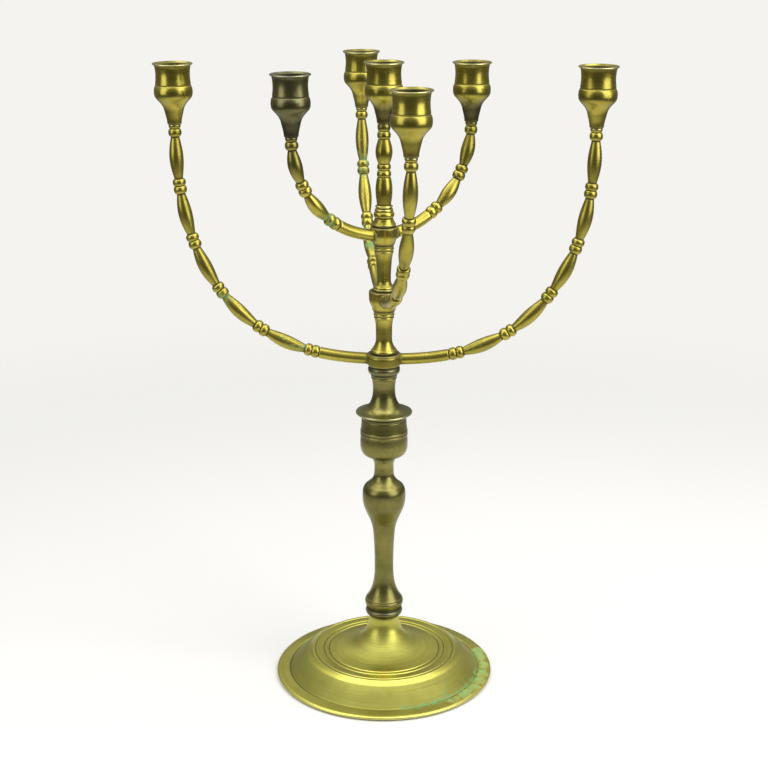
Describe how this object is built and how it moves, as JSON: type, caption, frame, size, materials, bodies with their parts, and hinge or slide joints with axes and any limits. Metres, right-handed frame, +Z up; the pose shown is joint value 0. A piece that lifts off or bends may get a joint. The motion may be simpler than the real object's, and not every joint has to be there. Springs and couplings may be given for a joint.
{
  "type": "tabletop candelabra",
  "caption": "Turned brass candelabra: round stepped base, baluster stem, three swivelling pairs of curved beaded arms and a raised middle candle cup.",
  "frame": {"origin": "centre of the base's underside, on the stem's axis", "axes": "+Z up along the stem, +X along the outer pair of arms, +Y away from the viewer"},
  "size_m": [0.3178, 0.2482, 0.4578],
  "materials": {
    "golden_brass": "satin turned brass, lightly tarnished, with verdigris in the hollows",
    "tarnished_brass": "dark brown-grey tarnished brass",
    "plain_steel": "dull plain steel"
  },
  "bodies": {
    "stem": {"base": "golden_brass", "base_washer": "plain_steel", "base_nut": "plain_steel", "tie_rod": "plain_steel", "foot_ring": "tarnished_brass", "baluster": "golden_brass", "knop": "golden_brass", "trumpet_neck": "tarnished_brass", "collar": "tarnished_brass", "lower_spacer": "golden_brass", "upper_spacer": "golden_brass", "top_spindle": "golden_brass", "centre_cup": "golden_brass"},
    "outer_arms": {"outer_hub": "golden_brass", "outer_arm_left": "golden_brass", "outer_arm_right": "golden_brass", "outer_cup_left": "golden_brass", "outer_cup_right": "golden_brass"},
    "middle_arms": {"middle_hub": "golden_brass", "middle_arm_front": "golden_brass", "middle_arm_back": "golden_brass", "middle_cup_front": "golden_brass", "middle_cup_back": "golden_brass"},
    "inner_arms": {"inner_hub": "golden_brass", "inner_arm_left": "golden_brass", "inner_arm_right": "golden_brass", "inner_cup_left": "tarnished_brass", "inner_cup_right": "golden_brass"}
  },
  "joints": [
    {"name": "outer_arms_swivel", "type": "hinge", "parent": "stem", "child": "outer_arms", "pos_m": [0, 0, 0.2471], "axis": [0, 0, 1], "continuous": true},
    {"name": "middle_arms_swivel", "type": "hinge", "parent": "stem", "child": "middle_arms", "pos_m": [0, 0, 0.2917], "axis": [0, 0, 1], "continuous": true},
    {"name": "inner_arms_swivel", "type": "hinge", "parent": "stem", "child": "inner_arms", "pos_m": [0, 0, 0.338], "axis": [0, 0, 1], "continuous": true}
  ]
}
